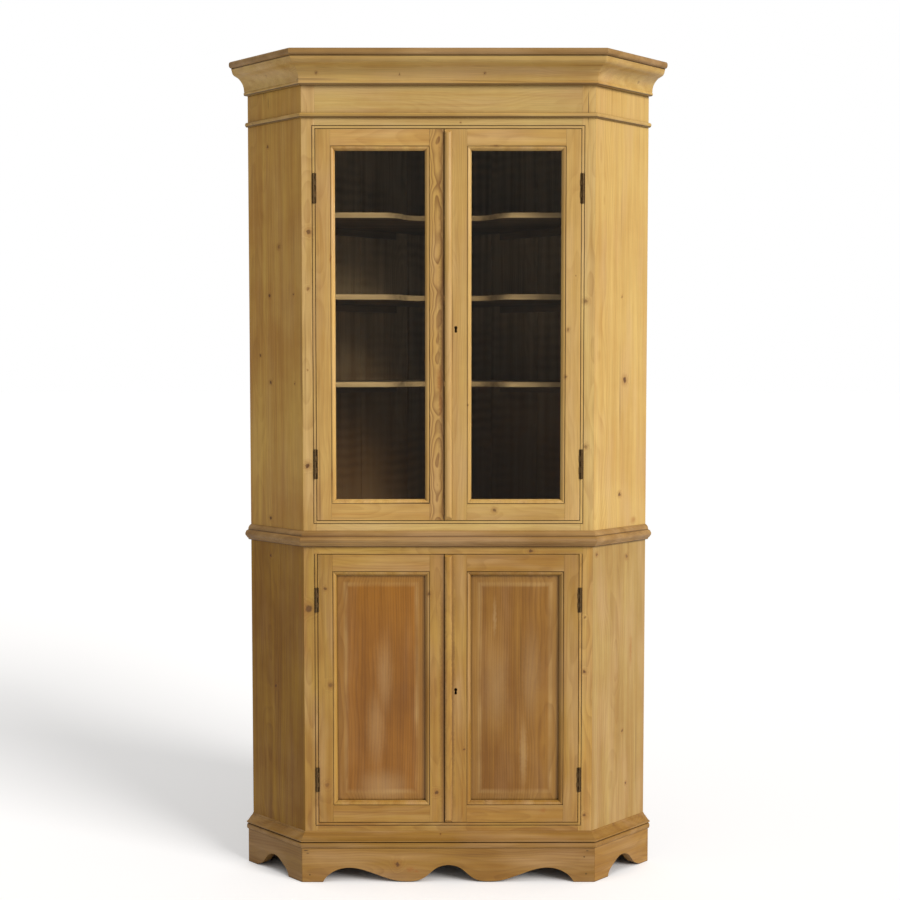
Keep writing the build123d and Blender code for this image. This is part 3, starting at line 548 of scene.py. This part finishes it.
def dress(node, choose, bevel=0.7, pith=None, dissolve=0.5):
    """Stands for a CAD node. choose is its material, or gives each board's from its middle point. bevel
    is in millimetres. pith gives a board's place in the tree, or None for one drawn by lot."""
    bm = bmesh.new()
    bm.from_mesh(NODES[node].data)
    bmesh.ops.remove_doubles(bm, verts=bm.verts, dist=0.02 * MM)
    bmesh.ops.dissolve_limit(bm, angle_limit=math.radians(dissolve), verts=bm.verts, edges=bm.edges)
    bm.faces.ensure_lookup_table()
    grain = bm.verts.layers.float_vector.new("grain")
    board = bm.verts.layers.float.new("board")
    dice = random.Random(node)
    materials = []
    for group in islands(bm):
        verts = {v for f in group for v in f.verts}
        points = [v.co.copy() for v in sorted(verts, key=lambda v: v.index)]
        spans = board_axes(points)
        middle = Vector()
        for span, centre, axis in spans:
            middle += axis * centre
        material = choose(middle) if callable(choose) else choose
        if material not in materials:
            materials.append(material)
        # The pith lies 30 to 90 mm behind the face, anywhere across the board
        across = (dice.random() - 0.5) * spans[1][0] * 0.9
        deep = 0.03 + dice.random() * 0.06
        if pith and pith(middle):
            across, deep = pith(middle)
        start = dice.random() * 4
        tint = dice.random()
        for v in verts:
            v[grain] = (v.co.dot(spans[0][2]) + start,
                        v.co.dot(spans[1][2]) - spans[1][1] - across,
                        v.co.dot(spans[2][2]) - spans[2][1] - deep)
            v[board] = tint
        for f in group:
            f.material_index = materials.index(material)
            f.smooth = True
    mesh = bpy.data.meshes.new(node + "_mesh")
    bm.to_mesh(mesh)
    bm.free()
    for material in materials:
        mesh.materials.append(material)
    mesh.set_sharp_from_angle(angle=ARRIS_ANGLE)
    piece = bpy.data.objects.new(node + ".dressed", mesh)
    bpy.context.scene.collection.objects.link(piece)
    soft = piece.modifiers.new("eased_arrises", "BEVEL")
    soft.width = bevel * MM
    soft.segments = 2
    soft.limit_method = "ANGLE"
    soft.angle_limit = ARRIS_ANGLE
    soft.use_clamp_overlap = False
    soft.harden_normals = True
    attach(piece, BODY_OF[node])
    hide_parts(node)


def dress_all(nodes, choose, **how):
    """Dresses several nodes alike."""
    for node in nodes:
        dress(node, choose, **how)


def by_hand(left, right):
    """Chooses between two woods for the boards left and right of the middle."""
    return lambda middle: WAXED[left if middle.x < 0 else right]


def near_meeting(middle):
    """Whether a stile of the left door is the one that closes against the right door."""
    return middle.x > -0.1


def meeting_pith(middle):
    """The stile beside the meeting gap is cut close under the bark, so its rings show as arches."""
    return (0.004, 0.034) if near_meeting(middle) else None


dress_all(["astragal_moulding", "cornice_moulding"], WAXED["moulding"], bevel=0.35)
dress("waist_moulding", WAXED["waist"], bevel=0.35)
dress("base_moulding", WAXED["plinth"], bevel=0.35)
dress("top_board", WAXED["waist"], bevel=0.8)
dress_all(["plinth_front", "plinth_left", "plinth_right"], WAXED["plinth"], bevel=0.9, dissolve=0.2)
dress("upper_stiles", by_hand("stiles", "right_stile"), bevel=0.4)
dress("lower_stiles", by_hand("low_frame", "low_right_stile"), bevel=0.4)
dress_all(["upper_bottom_rail", "frieze_rail"], WAXED["rails"], bevel=0.4)
dress("lower_rails", WAXED["low_frame"], bevel=0.4)
for level, wood in (("upper", ""), ("lower", "low_")):
    for side in ("left", "right"):
        dress(f"{level}_side_{side}", WAXED[f"{wood}{side}_side"])
dress_all(["upper_back_boards", "lower_back_boards"], AGED["back"], bevel=0.8)
dress_all(["plinth_blocks", "lower_floor", "lower_top", "lower_shelf", "upper_floor", "shelf_bearers",
           "door_stops"], AGED["inside"], bevel=0.8)
dress_all(["shelf_low", "shelf_middle", "shelf_high"], AGED["shelf"], bevel=0.9)

dress("upper_left_door_stiles", lambda middle: WAXED["meeting" if near_meeting(middle) else "left_door"],
      pith=meeting_pith)
dress("upper_left_door_rails", WAXED["left_door"])
dress("upper_left_door_moulding", WAXED["left_door"], bevel=0.3)
dress_all(["upper_right_door_stiles", "upper_right_door_rails"], WAXED["right_door"])
dress("upper_right_door_moulding", WAXED["right_door"], bevel=0.3)
dress("upper_meeting_bead", WAXED["right_door"], bevel=0.4)
for side in ("left", "right"):
    dress_all([f"lower_{side}_door_stiles", f"lower_{side}_door_rails"], WAXED["low_door"])
    dress(f"lower_{side}_door_moulding", WAXED["low_door"], bevel=0.3)
    dress(f"lower_{side}_door_panel", WAXED[f"{side}_panel"], bevel=0.8)
dress("lower_meeting_bead", WAXED["low_door"], bevel=0.4)

LEVELS = ("upper", "lower")
fittings = ["frame_hinges"]
fittings += [f"{level}_{part}" for part in ("lock_case", "lock_bolt", "slide_bolt_plate", "slide_bolt")
             for level in LEVELS]
fittings += [f"{level}_{side}_door_hinge_leaves" for level in LEVELS for side in ("left", "right")]
dress_all(fittings, IRON, bevel=0.25)
for node in ("upper_left_door_glass", "upper_right_door_glass"):
    NODES[node].data.materials.clear()
    NODES[node].data.materials.append(GLASS)


# Slotted screws and nail heads, set out by geometry nodes on points that carry the way they face

def fastener_tree(name, slotted):
    """Sets a head on every point, turned to the way the point faces, each spun by lot from a fixed seed."""
    tree = bpy.data.node_groups.new(name, "GeometryNodeTree")
    tree.interface.new_socket("Points", in_out="INPUT", socket_type="NodeSocketGeometry")
    for label, value in (("Head Radius", 0.0026), ("Head Height", 0.0005), ("Slot Width", 0.0007)):
        size = tree.interface.new_socket(label, in_out="INPUT", socket_type="NodeSocketFloat")
        size.default_value = value
    tree.interface.new_socket("Seed", in_out="INPUT", socket_type="NodeSocketInt").default_value = 7
    tree.interface.new_socket("Metal", in_out="INPUT", socket_type="NodeSocketMaterial")
    tree.interface.new_socket("Heads", in_out="OUTPUT", socket_type="NodeSocketGeometry")
    given = add(tree, "NodeGroupInput").outputs
    head = add(tree, "GeometryNodeMeshCylinder", {},
               {"Vertices": 14, "Radius": given["Head Radius"], "Depth": given["Head Height"]})
    shape = head.outputs["Mesh"]
    if slotted:
        length = add(tree, "ShaderNodeMath", {"operation": "MULTIPLY"},
                     {0: given["Head Radius"], 1: 3.0}).outputs[0]
        size = add(tree, "ShaderNodeCombineXYZ", {},
                   {0: length, 1: given["Slot Width"], 2: given["Head Height"]}).outputs[0]
        slot = add(tree, "GeometryNodeMeshCube", {}, {"Size": size})
        lift = add(tree, "ShaderNodeCombineXYZ", {}, {2: given["Head Height"]}).outputs[0]
        raised = add(tree, "GeometryNodeTransform", {},
                     {"Geometry": slot.outputs["Mesh"], "Translation": lift})
        cut = add(tree, "GeometryNodeMeshBoolean", {"operation": "DIFFERENCE"}, {"Mesh 1": shape})
        tree.links.new(raised.outputs["Geometry"], cut.inputs["Mesh 2"])
        shape = cut.outputs["Mesh"]
    facing = add(tree, "GeometryNodeInputNamedAttribute", {"data_type": "FLOAT_VECTOR"}, {"Name": "facing"})
    aligned = add(tree, "FunctionNodeAlignRotationToVector", {"axis": "Z"},
                  {"Vector": facing.outputs["Attribute"]})
    spin = add(tree, "FunctionNodeRandomValue", {"data_type": "FLOAT"},
               {"Min": 0.0, "Max": 6.28, "Seed": given["Seed"]})
    angle = add(tree, "FunctionNodeAxisAngleToRotation", {},
                {"Axis": (0.0, 0.0, 1.0), "Angle": spin.outputs[1]})
    turned = add(tree, "FunctionNodeRotateRotation", {"rotation_space": "LOCAL"},
                 {"Rotation": aligned.outputs[0], "Rotate By": angle.outputs[0]})
    dots = add(tree, "GeometryNodeMeshToPoints", {}, {"Mesh": given["Points"]})
    placed = add(tree, "GeometryNodeInstanceOnPoints", {},
                 {"Points": dots.outputs[0], "Instance": shape, "Rotation": turned.outputs[0]})
    real = add(tree, "GeometryNodeRealizeInstances", {}, {"Geometry": placed.outputs[0]})
    metal = add(tree, "GeometryNodeSetMaterial", {},
                {"Geometry": real.outputs[0], "Material": given["Metal"]})
    out = add(tree, "NodeGroupOutput")
    tree.links.new(metal.outputs[0], out.inputs[0])
    return tree


def fasteners(name, body, tree, spots, sizes):
    """spots are (place, facing). The result is one plain mesh that rides on a body."""
    mesh = bpy.data.meshes.new(name + "_points")
    mesh.from_pydata([place for place, way in spots], [], [])
    facing = mesh.attributes.new("facing", "FLOAT_VECTOR", "POINT")
    for i, (place, way) in enumerate(spots):
        facing.data[i].vector = way
    holder = bpy.data.objects.new(name + "_points", mesh)
    bpy.context.scene.collection.objects.link(holder)
    layout = holder.modifiers.new("layout", "NODES")
    layout.node_group = tree
    for item in tree.interface.items_tree:
        if item.in_out == "INPUT" and item.name in sizes:
            layout[item.identifier] = sizes[item.name]
    laid_out = holder.evaluated_get(bpy.context.evaluated_depsgraph_get())
    made = bpy.data.meshes.new_from_object(laid_out)
    holder.modifiers.clear()
    bpy.data.objects.remove(holder)
    piece = bpy.data.objects.new(name, made)
    bpy.context.scene.collection.objects.link(piece)
    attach(piece, body)


SCREW_TREE = fastener_tree("slotted_screws", True)
NAIL_TREE = fastener_tree("cut_nail_heads", False)

# In metres: heights of the two hinges, their length, and the half width of the door opening. Screws sit
# in a leaf at two distances behind the face, and stand a little proud
HINGES = {"upper": ((1.088, 1.790), 0.075, 0.339), "lower": ((0.2655, 0.7365), 0.063, 0.338)}
LOCK_HEIGHT = {"upper": 1.433, "lower": 0.498}
BOLT_PLATE_TOP = {"upper": 1.924, "lower": 0.840}
HINGE_GAP = 0.0015
OUTER_SCREWS = 0.0125
MIDDLE_SCREW = 0.0095
SCREW_STEP = 0.32
PROUD = 0.0001
MEETING_STILE = 0.030
LOCK_FACE = FRONT + 0.022 + PROUD
BOLT_PLATE_FACE = FRONT + 0.0236 + PROUD
SIDES = (-1, 1)


def hinge_screws(level, side, moving):
    """Three screws in each leaf, the middle one set nearer the knuckles."""
    heights, length, half = HINGES[level]
    x = half - HINGE_GAP + PROUD if moving else half - PROUD
    way = side if moving else -side
    spots = []
    for z in heights:
        for step in (-1, 0, 1):
            behind = OUTER_SCREWS if step else MIDDLE_SCREW
            spots.append(((side * x, FRONT + behind, z + step * length * SCREW_STEP), (way, 0, 0)))
    return spots


def lock_screws(level):
    """Two screws in the back of the lock case, over and under its bolt."""
    return [((MEETING_STILE, LOCK_FACE, LOCK_HEIGHT[level] + dz), (0, 1, 0)) for dz in (-0.018, 0.018)]


def bolt_screws(level):
    """Four screws, at the corners of the slide bolt's plate."""
    return [((dx - MEETING_STILE, BOLT_PLATE_FACE, BOLT_PLATE_TOP[level] + dz), (0, 1, 0))
            for dz in (-0.004, -0.066) for dx in (-0.0085, 0.0085)]


screw_sizes = {"Head Radius": 0.0026, "Head Height": 0.0004, "Slot Width": 0.0007, "Metal": IRON}
for level in LEVELS:
    fasteners(f"{level}_left_door_screws", f"{level}_left_door", SCREW_TREE,
              hinge_screws(level, -1, True) + bolt_screws(level), screw_sizes)
    fasteners(f"{level}_right_door_screws", f"{level}_right_door", SCREW_TREE,
              hinge_screws(level, 1, True) + lock_screws(level), screw_sizes)
case_screws = [spot for level in LEVELS for side in SIDES for spot in hinge_screws(level, side, False)]
fasteners("case_screws", "case", SCREW_TREE, case_screws, screw_sizes)

# Nails: three in the face of the plinth, and rows through the back boards into shelves, floors and tops
PLINTH_FACE = FRONT - 0.017 - PROUD
PLINTH_NAILS = ((353, 67), (-360, 20), (358, 22))
SIDE_DEPTH = 0.156
NAIL_ROWS = (2.0995, 1.738, 1.527, 1.299, 0.925, 0.886, 0.492, 0.139)
FIRST_NAIL = 0.045
NAIL_STEP = 0.082
nails = [((x * MM, PLINTH_FACE, z * MM), (0, -1, 0)) for x, z in PLINTH_NAILS]
for z in NAIL_ROWS:
    for side in SIDES:
        for i in range(9):
            run = DIAG * (FIRST_NAIL + i * NAIL_STEP)
            x = HALF_FRONT + SIDE_DEPTH - run + DIAG * PROUD
            y = FRONT + SIDE_DEPTH + run + DIAG * PROUD
            nails.append(((side * x, y, z), (side * DIAG, DIAG, 0)))
nail_sizes = {"Head Radius": 0.0019, "Head Height": 0.0004, "Metal": IRON}
fasteners("case_nails", "case", NAIL_TREE, nails, nail_sizes)


# Studio: pale floor, white surround, key light from the right front, and a dark card behind the camera
# that only gloss and glass see, so that the panes stay dark and clear

def floor_material():
    """Pale matt paper that glows white to the camera and the glass. The glow fades out where the case
    occludes the floor, a painted shade under and close round the case.
    """
    material, tree, shader = new_material("pale_studio_floor")
    shader.inputs["Base Color"].default_value = rgb("E6E8EE")
    shader.inputs["Roughness"].default_value = 0.9
    shader.inputs["Emission Color"].default_value = (1, 1, 1, 1)
    open_air = add(tree, "ShaderNodeAmbientOcclusion", {"samples": 8}, {"Distance": 0.3}).outputs["AO"]
    path = add(tree, "ShaderNodeLightPath").outputs
    seen = add(tree, "ShaderNodeMath", {"operation": "MAXIMUM"},
               {0: path["Is Camera Ray"], 1: path["Is Transmission Ray"]}).outputs[0]
    # Less glow where the floor is occluded: painted shade near and under the case
    glow = add(tree, "ShaderNodeMapRange", {},
               {"Value": open_air, 1: 0.25, 2: 0.6, 3: 0.0, 4: 0.37}).outputs[0]
    share = add(tree, "ShaderNodeMath", {"operation": "MULTIPLY"}, {0: seen, 1: glow}).outputs[0]
    tree.links.new(share, shader.inputs["Emission Strength"])
    return material


def plane(name, corners, material):
    """A flat piece of the studio, which isn't part of the object."""
    mesh = bpy.data.meshes.new(name)
    mesh.from_pydata(corners, [], [(0, 1, 2, 3)])
    mesh.materials.append(material)
    item = bpy.data.objects.new(name, mesh)
    bpy.context.scene.collection.objects.link(item)
    return item


plane("studio_floor", [(-60, -60, 0), (60, -60, 0), (60, 60, 0), (-60, 60, 0)], floor_material())
card_material, _, card_shader = new_material("dark_reflector_card")
card_shader.inputs["Base Color"].default_value = rgb("8E8E8C")
card_shader.inputs["Roughness"].default_value = 1.0
card = plane("dark_card", [(-12, -9, 0), (12, -9, 0), (12, -9, 9), (-12, -9, 9)], card_material)
card.visible_camera = False
card.visible_diffuse = False
card.visible_shadow = False

# Soft light all round. The camera and the glass see plain white instead
world = bpy.data.worlds.new("studio_surround")
bpy.context.scene.world = world
world.use_nodes = True
surround = world.node_tree
surround.nodes.clear()
path = add(surround, "ShaderNodeLightPath").outputs
seen = add(surround, "ShaderNodeMath", {"operation": "MAXIMUM"},
           {0: path["Is Camera Ray"], 1: path["Is Transmission Ray"]}).outputs[0]
soft_light = add(surround, "ShaderNodeBackground", {}, {0: rgb("F6F2EA"), 1: 0.46})
white_wall = add(surround, "ShaderNodeBackground", {}, {0: (1, 1, 1, 1), 1: 1.0})
both = add(surround, "ShaderNodeMixShader", {},
           {0: seen, 1: soft_light.outputs[0], 2: white_wall.outputs[0]})
add(surround, "ShaderNodeOutputWorld", {}, {0: both.outputs[0]})

# A broad soft key light, from the right and in front, 29 degrees above the floor
lamp = bpy.data.lights.new("key_from_right", "SUN")
lamp.energy = 2.75
lamp.angle = math.radians(28)
lamp.color = rgb("FFFAF2")[:3]
key = bpy.data.objects.new("key_from_right", lamp)
key.rotation_euler = Vector((-0.645, 0.591, -0.484)).to_track_quat("-Z", "Y").to_euler()
bpy.context.scene.collection.objects.link(key)

# The photograph's viewing angle: eye height 1.35 m, 3.67 m from the face, tipped down by 3.4 degrees
lens = bpy.data.cameras.new("view_camera")
lens.lens = 57.402
lens.sensor_width = 36
camera = bpy.data.objects.new("view_camera", lens)
camera.location = (-0.0029, FRONT - 3.6746, 1.3458)
camera.rotation_euler = (math.radians(90 - 3.442), 0, math.radians(-0.112))
bpy.context.scene.collection.objects.link(camera)
bpy.context.scene.camera = camera
bpy.context.scene.view_settings.view_transform = "Standard"
